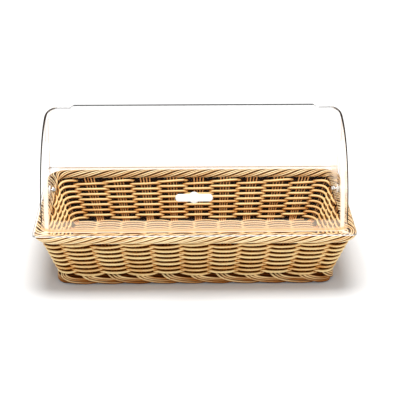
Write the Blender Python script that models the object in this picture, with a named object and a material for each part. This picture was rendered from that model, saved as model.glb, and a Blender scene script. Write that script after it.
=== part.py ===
"""Countertop bread display bin: a woven basket under a clear roll-top cover in two shells.

Metres. +X runs along the length, -Y faces the customer, +Z is up. The origin lies on the
worktop, under the middle of the basket.
"""

import math

import bmesh
import bpy
from mathutils import Matrix, Vector

# Fits
GAP = 0.0003
OVERRUN = 0.010

# Basket
RIM_LENGTH = 0.530
RIM_DEPTH = 0.325
RIM_CORNER = 0.036
BASKET_HEIGHT = 0.100
BORDER_WIDTH = 0.0185
BORDER_HEIGHT = 0.0150
BORDER_LAY = 0.0007
END_SPLAY = 0.0335
SIDE_SPLAY = 0.0340
FOOT_LENGTH = RIM_LENGTH - 2 * END_SPLAY
FOOT_DEPTH = RIM_DEPTH - 2 * SIDE_SPLAY
FOOT_CORNER = 0.030
FOOT_WIDTH = 0.0058
FOOT_HEIGHT = 0.0150
FOOT_SCALLOP = 0.0040
WALL_OVERHANG = 0.0105
STAKE_THICKNESS = 0.0032
STAKE_FOOT_HALF_WIDTH = 0.0062
STAKE_TOP_HALF_WIDTH = 0.0092
STAKE_TUCK = 0.018
STRAND_WIDTH = 0.0042
STRAND_MARGIN = 0.0010
BASE_LIFT = 0.0095
BASE_THICKNESS = 0.0021
BASE_ARCH = 0.0034
BASE_PITCH = 0.00517
LONG_PITCHES = 10
SHORT_PITCHES = 6
WALL_ROWS = 15
BASE_STRANDS = 44

# Cover
COVER_SHIFT = -0.0020
FLANGE_LENGTH = RIM_LENGTH + 2 * COVER_SHIFT
FLANGE_END = 0.012
FLANGE_SIDE = 0.0105
COVER_HALF_WIDTH = FLANGE_LENGTH / 2 - FLANGE_END
COVER_RADIUS = RIM_DEPTH / 2 - FLANGE_SIDE
COVER_FILLET = 0.022
COVER_THICKNESS = 0.003
COVER_CLEARANCE = 0.0030
FRONT_SETBACK = 0.0093
COVER_LAP = 0.008
COVER_SEAM = 0.0006
FLANGE_THICKNESS = 0.003
FLANGE_CORNER = 0.014
PIVOT_RISE = 0.0195
EAR_RADIUS = 0.0140
LIP_INSET = 0.044
LIP_HALF_LENGTH = COVER_HALF_WIDTH - LIP_INSET
LIP_SLOPE = 0.007
LIP_RISE = 0.0042
LIP_THICKNESS = 0.004

# Pivots in the end walls
SHANK_RADIUS = 0.0020
BUSH_RADIUS = 0.0045
COLLAR_RADIUS = 0.0080
CAP_RADIUS = 0.0070
CAP_HEIGHT = 0.0050
HEAD_RADIUS = 0.0036
HEAD_HEIGHT = 0.0020
WASHER_RADIUS = 0.0055
WASHER_THICKNESS = 0.0010
NUT_RADIUS = 0.0042
NUT_HEIGHT = 0.0032

# Handle
HANDLE_ANGLE = math.radians(16.3)
HANDLE_SHIFT = -0.0010
HANDLE_LENGTH = 0.060
HANDLE_WIDTH = 0.0118
HANDLE_THICKNESS = 0.0080
HANDLE_BEVEL = 0.0018
BOSS_RADIUS = 0.0088
BOSS_HEIGHT = 0.0080
INSERT_RADIUS = 0.0035
INSERT_LENGTH = 0.0080
HANDLE_HEAD_HEIGHT = 0.0011
HANDLE_WASHER_RADIUS = 0.0055
HANDLE_WASHER_THICKNESS = 0.0005

# Facets
TURN_SIDES = 20
COVER_STEPS = 36
FILLET_STEPS = 4
CORNER_STEPS = 5
BEVEL_STEPS = 2

FLANGE_BOTTOM = BASKET_HEIGHT + GAP
PIVOT_HEIGHT = FLANGE_BOTTOM + PIVOT_RISE
BUNDLES = 2 * (LONG_PITCHES + SHORT_PITCHES)
STRAND_REACH = STAKE_THICKNESS / 2 + GAP + STRAND_WIDTH / 2
STAKE_INSET = FOOT_WIDTH + GAP + STAKE_THICKNESS / 2
WALL_INSET = WALL_OVERHANG + STRAND_REACH + STRAND_WIDTH / 2
WALL_HIGH = BASKET_HEIGHT - BORDER_HEIGHT - GAP
WALL_LEAN = (SIDE_SPLAY + STAKE_INSET - WALL_INSET) / (WALL_HIGH - FOOT_HEIGHT)
STRAND_DROP = STRAND_REACH * WALL_LEAN
ROWS_LOW = FOOT_HEIGHT + GAP + STRAND_DROP
ROWS_HIGH = WALL_HIGH - STRAND_DROP
ROW_PITCH = (ROWS_HIGH - ROWS_LOW + GAP) / WALL_ROWS
STRAND_HEIGHT = ROW_PITCH - GAP


def clear_scene():
    for obj in list(bpy.data.objects):
        bpy.data.objects.remove(obj, do_unlink=True)


def finish(name, color, roughness, metallic=0.0, alpha=1.0):
    """A Principled material in one colour."""
    material = bpy.data.materials.new(name)
    material.use_nodes = True
    shader = material.node_tree.nodes["Principled BSDF"]
    shader.inputs["Base Color"].default_value = (*color, 1.0)
    shader.inputs["Roughness"].default_value = roughness
    shader.inputs["Metallic"].default_value = metallic
    shader.inputs["Alpha"].default_value = alpha
    return material


def place(name, mesh, parent=None, material=None, location=(0, 0, 0), turn=(0, 0, 0)):
    """Links a mesh as a named object under its parent."""
    obj = bpy.data.objects.new(name, mesh)
    bpy.context.scene.collection.objects.link(obj)
    obj.parent = parent
    obj.location = location
    obj.rotation_euler = turn
    if material:
        obj.data.materials.append(material)
    return obj


def helper(name, mesh, parent=None, location=(0, 0, 0), turn=(0, 0, 0)):
    """A cutter or a shape to join, which is no piece of its own."""
    obj = place(name, mesh, parent, None, location, turn)
    obj.hide_render = True
    obj.display_type = "WIRE"
    return obj


def empty(name, location, turn=(0, 0, 0), parent=None):
    obj = bpy.data.objects.new(name, None)
    bpy.context.scene.collection.objects.link(obj)
    obj.parent = parent
    obj.location = location
    obj.rotation_euler = turn
    return obj


def combine(obj, other, operation):
    modifier = obj.modifiers.new(f"{operation.lower()} {other.name}", "BOOLEAN")
    modifier.operation = operation
    modifier.object = other
    modifier.solver = "EXACT"


def smooth(obj, angle=math.radians(40)):
    obj.data.shade_smooth()
    obj.data.set_sharp_from_angle(angle=angle)


def mesh_of(bm, name):
    bmesh.ops.recalc_face_normals(bm, faces=bm.faces)
    mesh = bpy.data.meshes.new(name)
    bm.to_mesh(mesh)
    bm.free()
    return mesh


def side_place(half_run, half_across, corner, share):
    """A place on one side of a rounded rectangle, between the middles of its two corners.

    Gives the distance along the side, the distance out from the centre and the lean of the
    outward direction towards the run's end.
    """
    arc = corner * math.pi / 4
    straight = 2 * (half_run - corner)
    run = share * (2 * arc + straight)
    if run < arc:
        lean = (run - arc) / corner
        along = corner * math.sin(lean) - straight / 2
    elif run > arc + straight:
        lean = (run - arc - straight) / corner
        along = corner * math.sin(lean) + straight / 2
    else:
        lean = 0.0
        along = run - arc - straight / 2
    return along, half_across - corner + corner * math.cos(lean), lean


def ring_places(length, depth, corner, per_pitch):
    """Places evenly round a rounded rectangle, anticlockwise, each with its outward direction."""
    places = []
    for quarter in range(4):
        long_side = quarter % 2 == 0
        run, across = (length, depth) if long_side else (depth, length)
        count = per_pitch * (LONG_PITCHES if long_side else SHORT_PITCHES)
        turn = Matrix.Rotation(quarter * math.pi / 2, 3, "Z")
        for step in range(count):
            along, out, lean = side_place(run / 2, across / 2, corner, step / count)
            point = turn @ Vector((along, -out, 0))
            outward = turn @ Vector((math.sin(lean), -math.cos(lean), 0))
            places.append((point, outward))
    return places


def closed_ring(name, sections):
    """A solid ring lofted through closed sections, which have equally many points."""
    bm = bmesh.new()
    loops = [[bm.verts.new(point) for point in section] for section in sections]
    for loop, after in zip(loops, loops[1:] + loops[:1]):
        for low in range(len(loop)):
            high = (low + 1) % len(loop)
            bm.faces.new((loop[low], after[low], after[high]))
            bm.faces.new((loop[low], after[high], loop[high]))
    return mesh_of(bm, name)


def octagon(half_width, half_height):
    """An eight-sided section with flat top, bottom and sides."""
    points = []
    for side in range(8):
        angle = (side + 0.5) * math.pi / 4
        reach = 1 / math.cos(math.pi / 8)
        points.append((half_width * reach * math.cos(angle), half_height * reach * math.sin(angle)))
    return points


def rim_border_mesh():
    """The rolled border: pairs of rods that rise to the right as they go round."""
    half_height = BORDER_HEIGHT / 2
    section = octagon(BORDER_WIDTH / 2 - BORDER_LAY, half_height)
    middle = BASKET_HEIGHT - BORDER_HEIGHT / 2
    length = RIM_LENGTH - BORDER_WIDTH
    depth = RIM_DEPTH - BORDER_WIDTH
    corner = RIM_CORNER - BORDER_WIDTH / 2
    sections = []
    for index, (point, outward) in enumerate(ring_places(length, depth, corner, 4)):
        loop = []
        for side, (out, up) in enumerate(section):
            reach = out + math.copysign(BORDER_LAY, out) * (-1) ** (side + index)
            loop.append(point + outward * reach + Vector((0, 0, middle + up)))
        sections.append(loop)
    return closed_ring("rim_border", sections)


def bundle_frames(length, depth, corner):
    """Where each stake bundle stands on a rounded rectangle: its place, its run and its outward way."""
    frames = []
    for point, outward in ring_places(length, depth, corner, 1):
        frames.append((point, Vector((-outward.y, outward.x, 0)), outward))
    return frames


def stake_share(height):
    """How far up the sloping wall a height lies, from 0 at the foot to 1 under the border."""
    return max(0.0, (height - FOOT_HEIGHT) / (WALL_HIGH - FOOT_HEIGHT))


def wall_frames(height):
    """The bundles' frames on the middle surface of the wall at a height."""
    share = stake_share(height)
    length_low = FOOT_LENGTH - 2 * STAKE_INSET
    depth_low = FOOT_DEPTH - 2 * STAKE_INSET
    corner_low = FOOT_CORNER - STAKE_INSET
    length_high = RIM_LENGTH - 2 * WALL_INSET
    depth_high = RIM_DEPTH - 2 * WALL_INSET
    corner_high = RIM_CORNER - WALL_INSET
    length = length_low + (length_high - length_low) * share
    depth = depth_low + (depth_high - depth_low) * share
    corner = corner_low + (corner_high - corner_low) * share
    rise = Vector((0, 0, height))
    return [(point + rise, run, out) for point, run, out in bundle_frames(length, depth, corner)]


def stake_half_width(height):
    share = stake_share(height)
    return STAKE_FOOT_HALF_WIDTH + (STAKE_TOP_HALF_WIDTH - STAKE_FOOT_HALF_WIDTH) * share


def foot_border_mesh():
    """The foot: rods that start high at each bundle and sweep down to the next one."""
    sections = []
    inset = FOOT_WIDTH / 2
    frames = bundle_frames(FOOT_LENGTH - 2 * inset, FOOT_DEPTH - 2 * inset, FOOT_CORNER - inset)
    for point, run, outward in frames:
        for edge, height in ((-1, FOOT_HEIGHT), (1, FOOT_HEIGHT - FOOT_SCALLOP)):
            middle = point + run * edge * (STAKE_FOOT_HALF_WIDTH + STRAND_MARGIN)
            loop = []
            for out, up in octagon(FOOT_WIDTH / 2, height / 2):
                loop.append(middle + outward * out + Vector((0, 0, height / 2 + up)))
            sections.append(loop)
    return closed_ring("foot_border", sections)


def weaver_mesh(name, row):
    """One row's strand: outside one bundle, inside the next, square to the wall's slope."""
    height = ROWS_LOW + STRAND_HEIGHT / 2 + row * ROW_PITCH
    half_width = stake_half_width(height) + STRAND_MARGIN
    half_strand = STRAND_WIDTH / 2
    half_height = Vector((0, 0, STRAND_HEIGHT / 2))
    sections = []
    for bundle, (point, run, outward) in enumerate(wall_frames(height)):
        side = (-1) ** (row + bundle)
        reach = (outward * STRAND_REACH - Vector((0, 0, STRAND_DROP))) * side
        for edge in (-1, 1):
            middle = point + run * edge * half_width + reach
            out = outward * half_strand
            sections.append([middle + out, middle + half_height, middle - out, middle - half_height])
    return closed_ring(name, sections)


def stake_sections(bundle):
    """A stake bundle's four-cornered sections, from its bend in the foot up to the border."""
    half = STAKE_THICKNESS / 2
    bend = wall_frames(BASE_LIFT)[bundle]
    sections = []
    point, run, outward = bend
    side = run * STAKE_FOOT_HALF_WIDTH
    low = point + outward * half
    high = point - outward * half + Vector((0, 0, STAKE_THICKNESS))
    sections.append([low - side, low + side, high + side, high - side])
    for height in (FOOT_HEIGHT, WALL_HIGH):
        point, run, outward = wall_frames(height)[bundle]
        side = run * stake_half_width(height)
        out = outward * half
        sections.append([point + out - side, point + out + side, point - out + side, point - out - side])
    return sections


def open_loft(name, sections):
    """A solid lofted through sections of equally many points, with flat ends."""
    bm = bmesh.new()
    loops = [[bm.verts.new(point) for point in section] for section in sections]
    for loop, after in zip(loops, loops[1:]):
        for low in range(len(loop)):
            high = (low + 1) % len(loop)
            bm.faces.new((loop[low], after[low], after[high], loop[high]))
    bm.faces.new(loops[0][::-1])
    bm.faces.new(loops[-1])
    return mesh_of(bm, name)


def tucked_stake_mesh(name, bundle):
    """A stake bundle whose lower end is tucked in under the base mat."""
    sections = stake_sections(bundle)
    point, run, outward = wall_frames(BASE_LIFT)[bundle]
    end = point - outward * STAKE_TUCK
    side = run * STAKE_FOOT_HALF_WIDTH
    up = Vector((0, 0, STAKE_THICKNESS))
    tuck = [end - side, end + side, end + side + up, end - side + up]
    return open_loft(name, [tuck, *sections])


def cross_stake_mesh(name, front, back):
    """A stake bundle that runs down the front wall, under the base mat and up the back wall."""
    rising = stake_sections(front)
    falling = []
    for section in reversed(stake_sections(back)):
        falling.append([section[1], section[0], section[3], section[2]])
    return open_loft(name, falling + rising)


def base_outline():
    """The edge of the base mat, one gap inside the wall's innermost strands."""
    inset = STAKE_INSET + STRAND_REACH + STRAND_WIDTH / 2 + GAP
    outline = []
    frames = bundle_frames(FOOT_LENGTH - 2 * inset, FOOT_DEPTH - 2 * inset, FOOT_CORNER - inset)
    for point, run, _ in frames:
        side = run * (STAKE_FOOT_HALF_WIDTH + STRAND_MARGIN)
        outline += [point - side, point + side]
    return outline


def prism_mesh(name, outline, low, high):
    bm = bmesh.new()
    face = bm.faces.new([bm.verts.new((point[0], point[1], low)) for point in outline])
    walls = bmesh.ops.extrude_face_region(bm, geom=[face])
    tops = [item for item in walls["geom"] if isinstance(item, bmesh.types.BMVert)]
    bmesh.ops.translate(bm, verts=tops, vec=(0, 0, high - low))
    return mesh_of(bm, name)


def base_sheet_mesh():
    """A sheet larger than the base, whose strands arch over one cross bundle and under the next."""
    frames = wall_frames(BASE_LIFT)
    first = frames[1][0].x
    half_pitch = (frames[2][0].x - first) / 2
    columns = range(-3, 2 * LONG_PITCHES)
    rows = range(-1, BASE_STRANDS + 1)
    bottom = BASE_LIFT + STAKE_THICKNESS + GAP
    bm = bmesh.new()
    grid = {}
    for column in columns:
        for row in rows:
            over_bundle = column % 2 == 0 and (column // 2 + 1 + row) % 2 == 0
            x = first + half_pitch * column
            y = BASE_PITCH * (row - (BASE_STRANDS - 1) / 2)
            z = bottom + BASE_THICKNESS + (BASE_ARCH if over_bundle else 0)
            grid[column, row] = bm.verts.new((x, y, z))
    for column in columns[:-1]:
        for row in rows[:-1]:
            near = grid[column, row], grid[column + 1, row]
            far = grid[column, row + 1], grid[column + 1, row + 1]
            bm.faces.new((near[0], near[1], far[1]))
            bm.faces.new((near[0], far[1], far[0]))
    border = [edge for edge in bm.edges if edge.is_boundary]
    skirt = bmesh.ops.extrude_edge_only(bm, edges=border)
    for item in skirt["geom"]:
        if isinstance(item, bmesh.types.BMVert):
            item.co.z = bottom
    bmesh.ops.contextual_create(bm, geom=[edge for edge in bm.edges if edge.is_boundary])
    return mesh_of(bm, "base_sheet")


def turned_mesh(name, outline, sides=TURN_SIDES):
    """A piece turned about its own X axis, from points of distance along and radius."""
    bm = bmesh.new()
    verts = [bm.verts.new((along, radius, 0)) for along, radius in outline]
    edges = [bm.edges.new(pair) for pair in zip(verts, verts[1:] + verts[:1])]
    edges = [edge for edge in edges if any(vert.co.y > 0 for vert in edge.verts)]
    bmesh.ops.spin(
        bm,
        geom=edges,
        axis=(1, 0, 0),
        cent=(0, 0, 0),
        angle=2 * math.pi,
        steps=sides,
        use_merge=True,
    )
    bmesh.ops.remove_doubles(bm, verts=bm.verts, dist=GAP / 100)
    loose = [edge for edge in bm.edges if not edge.link_faces]
    bmesh.ops.delete(bm, geom=loose, context="EDGES")
    return mesh_of(bm, name)


def bar_outline(start, end, radius):
    return [(start, 0), (start, radius), (end, radius), (end, 0)]


def sleeve_outline(start, end, inner, outer):
    return [(start, inner), (start, outer), (end, outer), (end, inner)]


def cover_form_mesh(name, inset, drop):
    """The cover's full round form about the pivot axis, straight below it, shrunk by an inset."""
    width = COVER_HALF_WIDTH - inset
    radius = COVER_RADIUS - inset
    fillet = COVER_FILLET - inset
    half = []
    for step in range(FILLET_STEPS + 1):
        angle = step / FILLET_STEPS * math.pi / 2
        along = width - fillet * (1 - math.cos(angle))
        half.append((along, radius - fillet * (1 - math.sin(angle))))
    profile = [(width, 0), *half]
    profile += [(-along, reach) for along, reach in reversed(profile)]
    bm = bmesh.new()
    verts = [bm.verts.new((along, -reach, 0)) for along, reach in profile]
    edges = [bm.edges.new(pair) for pair in zip(verts, verts[1:])]
    bmesh.ops.spin(bm, geom=edges, axis=(-1, 0, 0), cent=(0, 0, 0), angle=math.pi, steps=COVER_STEPS)
    bmesh.ops.remove_doubles(bm, verts=bm.verts, dist=GAP / 100)
    border = [edge for edge in bm.edges if edge.is_boundary]
    skirt = bmesh.ops.extrude_edge_only(bm, edges=border)
    lower = [item for item in skirt["geom"] if isinstance(item, bmesh.types.BMVert)]
    bmesh.ops.translate(bm, verts=lower, vec=(0, 0, -drop))
    bmesh.ops.contextual_create(bm, geom=[edge for edge in bm.edges if edge.is_boundary])
    return mesh_of(bm, name)


def rounded_outline(length, depth, corner):
    points = []
    for quarter in range(4):
        turn = Matrix.Rotation(quarter * math.pi / 2, 3, "Z")
        half = (length / 2, depth / 2) if quarter % 2 == 0 else (depth / 2, length / 2)
        centre = Vector((half[0] - corner, half[1] - corner, 0))
        for step in range(CORNER_STEPS + 1):
            angle = step / CORNER_STEPS * math.pi / 2
            points.append(turn @ (centre + corner * Vector((math.cos(angle), math.sin(angle), 0))))
    return points


def kept_half(name, parent, side, step, low_edge, high_edge):
    """The space that one shell fills: its half of the cover and a round ear about the pivots.

    side is -1 for the front and 1 for the rear. The half ends at low_edge below the step and at
    high_edge above it.
    """
    reach_x = RIM_LENGTH / 2 + OVERRUN
    far = side * (RIM_DEPTH / 2 + OVERRUN)
    floor = -PIVOT_RISE - OVERRUN
    ceiling = COVER_RADIUS + OVERRUN
    outline = [(far, floor), (low_edge, floor), (low_edge, step)]
    outline += [(high_edge, step), (high_edge, ceiling), (far, ceiling)]
    half = prism_mesh(name, outline, -reach_x, reach_x)
    kept = helper(name, half, parent, turn=(math.pi / 2, 0, math.pi / 2))
    ear = turned_mesh(f"{name}_ear", bar_outline(-reach_x, reach_x, EAR_RADIUS))
    combine(kept, helper(f"{name}_ear", ear, parent), "UNION")
    return kept


def cover_shell(name, parent, material, inset, kept, pivot_hole):
    """One shell of the cover with its flange, cut to its half."""
    shell = place(name, cover_form_mesh(name, inset, PIVOT_RISE), parent, material)
    outline = rounded_outline(FLANGE_LENGTH, RIM_DEPTH, FLANGE_CORNER)
    flange = prism_mesh(f"{name}_flange", outline, -PIVOT_RISE, FLANGE_THICKNESS - PIVOT_RISE)
    hollow = cover_form_mesh(f"{name}_hollow", inset + COVER_THICKNESS, PIVOT_RISE + OVERRUN)
    hole_reach = COVER_HALF_WIDTH + OVERRUN
    hole = turned_mesh(f"{name}_hole", bar_outline(-hole_reach, hole_reach, pivot_hole))
    combine(shell, helper(f"{name}_flange", flange, parent), "UNION")
    combine(shell, helper(f"{name}_hollow", hollow, parent), "DIFFERENCE")
    combine(shell, kept, "INTERSECT")
    combine(shell, helper(f"{name}_hole", hole, parent), "DIFFERENCE")
    return shell


def make_basket(rattan):
    place("rim_border", rim_border_mesh(), None, rattan)
    place("foot_border", foot_border_mesh(), None, rattan)
    for row in range(WALL_ROWS):
        name = f"weaver_{row + 1:02d}"
        place(name, weaver_mesh(name, row), None, rattan)
    make_stakes(rattan)
    base = place("base_mat", base_sheet_mesh(), None, rattan)
    trim = prism_mesh("base_trim", base_outline(), -OVERRUN, FOOT_HEIGHT + OVERRUN)
    combine(base, helper("base_trim", trim), "INTERSECT")


def make_stakes(rattan):
    """Bundles 0 to 31 stand anticlockwise from the front left corner."""
    corners = (0, LONG_PITCHES, LONG_PITCHES + SHORT_PITCHES, 2 * LONG_PITCHES + SHORT_PITCHES)
    places = ("front_left", "front_right", "back_right", "back_left")
    for bundle, where in zip(corners, places):
        name = f"corner_stake_{where}"
        place(name, tucked_stake_mesh(name, bundle), None, rattan)
    for number in range(1, LONG_PITCHES):
        name = f"cross_stake_{number}"
        back = corners[3] - number
        place(name, cross_stake_mesh(name, number, back), None, rattan)
    for number in range(1, SHORT_PITCHES):
        for where, bundle in (("right", corners[1] + number), ("left", BUNDLES - number)):
            name = f"end_stake_{where}_{number}"
            place(name, tucked_stake_mesh(name, bundle), None, rattan)


def make_rear_cover(parent, acrylic):
    """The inner shell, which laps under the front one everywhere above the flange."""
    shelf = FLANGE_THICKNESS + GAP - PIVOT_RISE
    lap_edge = -FRONT_SETBACK - COVER_LAP
    kept = kept_half("rear_half", parent, 1, shelf, COVER_SEAM / 2, lap_edge)
    inset = COVER_THICKNESS + COVER_CLEARANCE
    shell = cover_shell("rear_shell", parent, acrylic, inset, kept, SHANK_RADIUS + GAP)
    smooth(shell)


def make_front_cover(parent, seat, acrylic):
    """The outer shell, with a raised lip along its top edge a little in front of the pivots."""
    kept = kept_half("front_half", parent, -1, 0, -COVER_SEAM / 2, -FRONT_SETBACK)
    shell = cover_shell("front_shell", parent, acrylic, 0.0, kept, BUSH_RADIUS + GAP)
    low = COVER_RADIUS - COVER_THICKNESS / 2
    high = COVER_RADIUS + LIP_RISE
    top = LIP_HALF_LENGTH - LIP_SLOPE
    outline = [(-LIP_HALF_LENGTH, low), (LIP_HALF_LENGTH, low), (top, high), (-top, high)]
    lip = prism_mesh("front_lip", outline, FRONT_SETBACK, FRONT_SETBACK + LIP_THICKNESS)
    combine(shell, helper("front_lip", lip, parent, turn=(math.pi / 2, 0, 0)), "UNION")
    reach = COVER_RADIUS + OVERRUN
    start = COVER_RADIUS - COVER_THICKNESS - OVERRUN
    hole = turned_mesh("handle_hole", bar_outline(start, reach, SHANK_RADIUS + GAP))
    combine(shell, helper("handle_hole", hole, seat, turn=(0, 0, -math.pi / 2)), "DIFFERENCE")
    smooth(shell)


def pivot_outlines():
    """Each pivot piece as an outline of distance from the cover's middle and radius."""
    front_out = COVER_HALF_WIDTH
    front_in = front_out - COVER_THICKNESS
    rear_out = front_in - COVER_CLEARANCE
    rear_in = rear_out - COVER_THICKNESS
    bore = SHANK_RADIUS + GAP
    collar_start = rear_out + GAP
    collar_end = front_in - GAP
    bush_end = front_out + GAP
    head_start = bush_end + GAP
    head_end = head_start + HEAD_HEIGHT
    cap_start = front_out + GAP
    cap_end = cap_start + CAP_HEIGHT
    washer_end = rear_in - GAP
    washer_start = washer_end - WASHER_THICKNESS
    nut_end = washer_start - GAP
    nut_start = nut_end - NUT_HEIGHT
    bush = [
        (collar_start, bore),
        (collar_start, COLLAR_RADIUS),
        (collar_end, COLLAR_RADIUS),
        (collar_end, BUSH_RADIUS),
        (bush_end, BUSH_RADIUS),
        (bush_end, bore),
    ]
    screw = [
        (nut_start, 0),
        (nut_start, SHANK_RADIUS),
        (head_start, SHANK_RADIUS),
        (head_start, HEAD_RADIUS),
        (head_end, HEAD_RADIUS),
        (head_end, 0),
    ]
    socket = max(HEAD_RADIUS, BUSH_RADIUS) + GAP
    shoulder = cap_end - (cap_end - cap_start) / 3
    cap = [
        (head_end + GAP, 0),
        (head_end + GAP, socket),
        (cap_start, socket),
        (cap_start, CAP_RADIUS),
        (shoulder, CAP_RADIUS),
        (cap_end, CAP_RADIUS * 2 / 3),
        (cap_end, 0),
    ]
    return {
        "pivot_bush": (bush, TURN_SIDES),
        "pivot_screw": (screw, TURN_SIDES),
        "pivot_cap": (cap, TURN_SIDES),
        "pivot_washer": (sleeve_outline(washer_start, washer_end, bore, WASHER_RADIUS), TURN_SIDES),
        "pivot_nut": (sleeve_outline(nut_start, nut_end, bore, NUT_RADIUS), 6),
    }


def make_pivots(parent, white, steel):
    for side, turn in (("right", 0.0), ("left", math.pi)):
        for piece, (outline, sides) in pivot_outlines().items():
            plastic = piece in ("pivot_bush", "pivot_cap")
            name = f"{piece}_{side}"
            mesh = turned_mesh(name, outline, sides)
            obj = place(name, mesh, parent, white if plastic else steel, turn=(0, 0, turn))
            smooth(obj)


def make_handle(seat, white, steel, rubber):
    """The pull: a bar on a round boss, held from inside by one screw in a threaded insert."""
    outward = (0, 0, -math.pi / 2)
    boss_start = COVER_RADIUS + GAP
    bar_start = boss_start + BOSS_HEIGHT
    bar_end = bar_start + HANDLE_THICKNESS
    insert_end = boss_start + INSERT_LENGTH
    outline = rounded_outline(HANDLE_LENGTH, HANDLE_WIDTH, HANDLE_WIDTH / 2 - GAP)
    bar = prism_mesh("handle", outline, bar_start, bar_end)
    handle = place("handle", bar, seat, white, turn=(math.pi / 2, 0, 0))
    bevel = handle.modifiers.new("soft edges", "BEVEL")
    bevel.width = HANDLE_BEVEL
    bevel.segments = BEVEL_STEPS
    bevel.angle_limit = math.radians(50)
    boss_outline = bar_outline(boss_start, (bar_start + bar_end) / 2, BOSS_RADIUS)
    boss = helper("handle_boss", turned_mesh("handle_boss", boss_outline), seat, turn=outward)
    combine(handle, boss, "UNION")
    socket_outline = bar_outline(boss_start - OVERRUN, insert_end + GAP, INSERT_RADIUS + GAP)
    socket = turned_mesh("insert_socket", socket_outline)
    combine(handle, helper("insert_socket", socket, seat, turn=outward), "DIFFERENCE")
    smooth(handle)
    bore = SHANK_RADIUS + GAP
    inner = COVER_RADIUS - COVER_THICKNESS
    dip = inner - math.sqrt(inner**2 - HANDLE_WASHER_RADIUS**2)
    washer_end = inner - dip - GAP
    washer_start = washer_end - HANDLE_WASHER_THICKNESS
    head_end = washer_start - GAP
    head_start = head_end - HANDLE_HEAD_HEIGHT
    screw = [
        (head_start, 0),
        (head_start, HEAD_RADIUS),
        (head_end, HEAD_RADIUS),
        (head_end, SHANK_RADIUS),
        (insert_end - GAP, SHANK_RADIUS),
        (insert_end - GAP, 0),
    ]
    pieces = {
        "handle_insert": (sleeve_outline(boss_start, insert_end, bore, INSERT_RADIUS), steel),
        "handle_washer": (sleeve_outline(washer_start, washer_end, bore, HANDLE_WASHER_RADIUS), rubber),
        "handle_screw": (screw, steel),
    }
    for name, (outline, material) in pieces.items():
        smooth(place(name, turned_mesh(name, outline), seat, material, turn=outward))


def main():
    clear_scene()
    rattan = finish("golden poly rattan", (0.69, 0.43, 0.19), 0.45)
    acrylic = finish("clear acrylic", (0.93, 0.97, 0.98), 0.05, alpha=0.3)
    white = finish("white moulded plastic", (0.90, 0.90, 0.88), 0.35)
    steel = finish("bright steel", (0.75, 0.75, 0.76), 0.25, metallic=1.0)
    rubber = finish("clear rubber washer", (0.82, 0.82, 0.80), 0.6)
    make_basket(rattan)
    rear = empty("rear_cover_lift", (COVER_SHIFT, 0, PIVOT_HEIGHT))
    front = empty("front_cover_hinge", (0, 0, 0), parent=rear)
    seat = empty("handle_seat", (HANDLE_SHIFT, 0, 0), turn=(-HANDLE_ANGLE, 0, 0), parent=front)
    make_rear_cover(rear, acrylic)
    make_front_cover(front, seat, acrylic)
    make_pivots(rear, white, steel)
    make_handle(seat, white, steel, rubber)


main()
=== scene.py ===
"""Countertop bread display bin: a woven poly rattan basket under a clear roll-top cover.

Metres, +Z up, -Y towards the customer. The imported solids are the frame. The basket's rods and
strands are laid here one by one, in place of the plain solids.
"""

import math
import random

import bpy
from mathutils import Matrix, Vector


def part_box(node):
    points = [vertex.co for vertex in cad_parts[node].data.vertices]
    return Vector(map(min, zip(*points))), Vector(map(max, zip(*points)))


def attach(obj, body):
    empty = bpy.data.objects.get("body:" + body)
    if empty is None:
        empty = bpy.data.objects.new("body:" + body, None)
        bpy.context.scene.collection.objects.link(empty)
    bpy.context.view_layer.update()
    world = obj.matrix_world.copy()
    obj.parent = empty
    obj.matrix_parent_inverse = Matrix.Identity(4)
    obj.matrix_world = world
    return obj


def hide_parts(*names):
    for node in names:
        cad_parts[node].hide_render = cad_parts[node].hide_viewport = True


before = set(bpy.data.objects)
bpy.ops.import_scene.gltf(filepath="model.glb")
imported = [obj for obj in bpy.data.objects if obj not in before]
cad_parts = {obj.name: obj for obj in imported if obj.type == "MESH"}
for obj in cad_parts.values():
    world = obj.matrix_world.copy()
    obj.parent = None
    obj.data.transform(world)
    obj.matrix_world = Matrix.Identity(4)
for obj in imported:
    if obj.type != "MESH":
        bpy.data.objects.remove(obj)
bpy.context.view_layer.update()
rng = random.Random(7)

# The weave, as the basket maker counts it
LONG_PITCHES = 10
SHORT_PITCHES = 6
BUNDLES = 2 * (LONG_PITCHES + SHORT_PITCHES)
CORNER_STATIONS = (0, LONG_PITCHES, LONG_PITCHES + SHORT_PITCHES, 2 * LONG_PITCHES + SHORT_PITCHES)
RODS_PER_BUNDLE = 4
BACK_SHIFT = 0.018  # the back wall's bundles stand to the right, as a share of its length

# Wall rods
STAKE_RADIUS = 0.0016
STAKE_PITCH_LOW = 0.0034
STAKE_PITCH_HIGH = 0.0056
STAKE_BEND = 0.008
STAKE_INTO_BORDER = 0.004
CORNER_TUCK = 0.030
END_TUCK = 0.040
CROSSING_REACH = 0.72  # where a cross bundle has moved half a pitch aside under the floor
WEAVER_RADIUS = 0.00255
WEAVER_REACH = 0.0041
WEAVER_WOBBLE = 0.0002
WEAVE_SNAP = 1.2
# The painted highlight on the wall's rods is raised this far towards the light overhead.
CROWN_RAISE = 0.40
WALL_SHADE_RINGS = 48
WALL_SHADE_RADIUS = 0.0010
WALL_SHADE_LAP = 0.003
ROW_SLANTS = {1: 0.0, 14: 0.0007, 15: 0.0013}
COMMON_SLANT = 0.0002
# Painted light: a stake is painted lit on its inward side and in shade on its back, by this share.
WALL_BARE = 0.6  # how far a stake's crown is told from its back, from 0 to 1
BEND_POINTS = 6
RISE_POINTS = 12

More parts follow.
